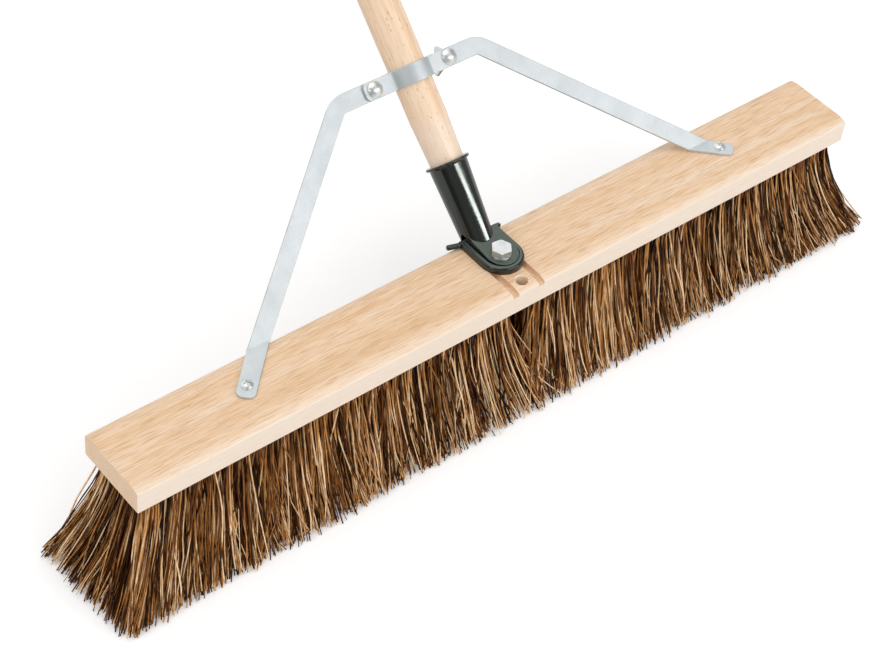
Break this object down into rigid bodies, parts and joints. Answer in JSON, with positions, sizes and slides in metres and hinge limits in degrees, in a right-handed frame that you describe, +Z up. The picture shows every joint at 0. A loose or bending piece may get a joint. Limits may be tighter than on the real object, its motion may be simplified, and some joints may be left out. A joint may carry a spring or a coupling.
{
  "type": "push broom",
  "caption": "Push broom with a wooden head block, stiff brown plant-fibre bristles, a long leaning wooden handle in a black steel socket, and flat steel brace arms clamped by wing nuts.",
  "frame": {"origin": "on the floor under the middle of the block, where the bristle tips stand", "axes": "+X along the block to the right as seen by someone facing the front, +Y back towards the side the handle leans to, +Z up"},
  "size_m": [0.6454, 1.1868, 1.1853],
  "materials": {
    "block_wood": "bare sanded pale hardwood with fine grain along the block",
    "handle_wood": "clear lacquered turned hardwood with small dark flecks",
    "plant_fibre": "stiff dry brown plant fibre, matt to slightly waxy",
    "black_paint": "gloss black paint on pressed steel",
    "galvanised_bar": "bright galvanised flat steel bar with light scratches",
    "zinc_hardware": "bright zinc plated steel"
  },
  "bodies": {
    "broom": {"bolt_lock_washer": "zinc_hardware", "brace_arm_left": "galvanised_bar", "brace_arm_right": "galvanised_bar", "bracket_bolt": "zinc_hardware", "bracket_plate": "black_paint", "bristle_row_1_left": "plant_fibre", "bristle_row_1_right": "plant_fibre", "bristle_row_2_left": "plant_fibre", "bristle_row_2_right": "plant_fibre", "bristle_row_3_left": "plant_fibre", "bristle_row_3_right": "plant_fibre", "bristle_row_4_left": "plant_fibre", "bristle_row_4_right": "plant_fibre", "bristle_row_5_left": "plant_fibre", "bristle_row_5_right": "plant_fibre", "brush_block": "block_wood", "clamp_bolt_left": "zinc_hardware", "clamp_bolt_right": "zinc_hardware", "foot_screw_left": "zinc_hardware", "foot_screw_right": "zinc_hardware", "handle": "handle_wood", "socket_tube": "black_paint", "tee_nut": "zinc_hardware"},
    "washer_left": {"clamp_washer_left": "zinc_hardware"},
    "nut_left": {"wing_nut_left": "zinc_hardware"},
    "washer_right": {"clamp_washer_right": "zinc_hardware"},
    "nut_right": {"wing_nut_right": "zinc_hardware"}
  },
  "joints": [
    {"name": "wing_nut_left_travel", "type": "slide", "parent": "broom", "child": "washer_left", "axis": [0.025, 0.6944, -0.7191], "range_m": [0, 0.0054]},
    {"name": "wing_nut_left_turn", "type": "hinge", "parent": "washer_left", "child": "nut_left", "pos_m": [-0.03065, 0.11008, 0.18626], "axis": [0.025, 0.6944, -0.7191], "range_deg": [0, 1800]},
    {"name": "wing_nut_right_travel", "type": "slide", "parent": "broom", "child": "washer_right", "axis": [0.025, 0.6944, -0.7191], "range_m": [0, 0.0054]},
    {"name": "wing_nut_right_turn", "type": "hinge", "parent": "washer_right", "child": "nut_right", "pos_m": [0.03073, 0.10901, 0.18736], "axis": [0.025, 0.6944, -0.7191], "range_deg": [0, 1800]}
  ],
  "couplings": [
    {"joint": "wing_nut_left_travel", "follows": "wing_nut_left_turn", "m_per_rad": 0.00016844},
    {"joint": "wing_nut_right_travel", "follows": "wing_nut_right_turn", "m_per_rad": 0.00016844}
  ]
}
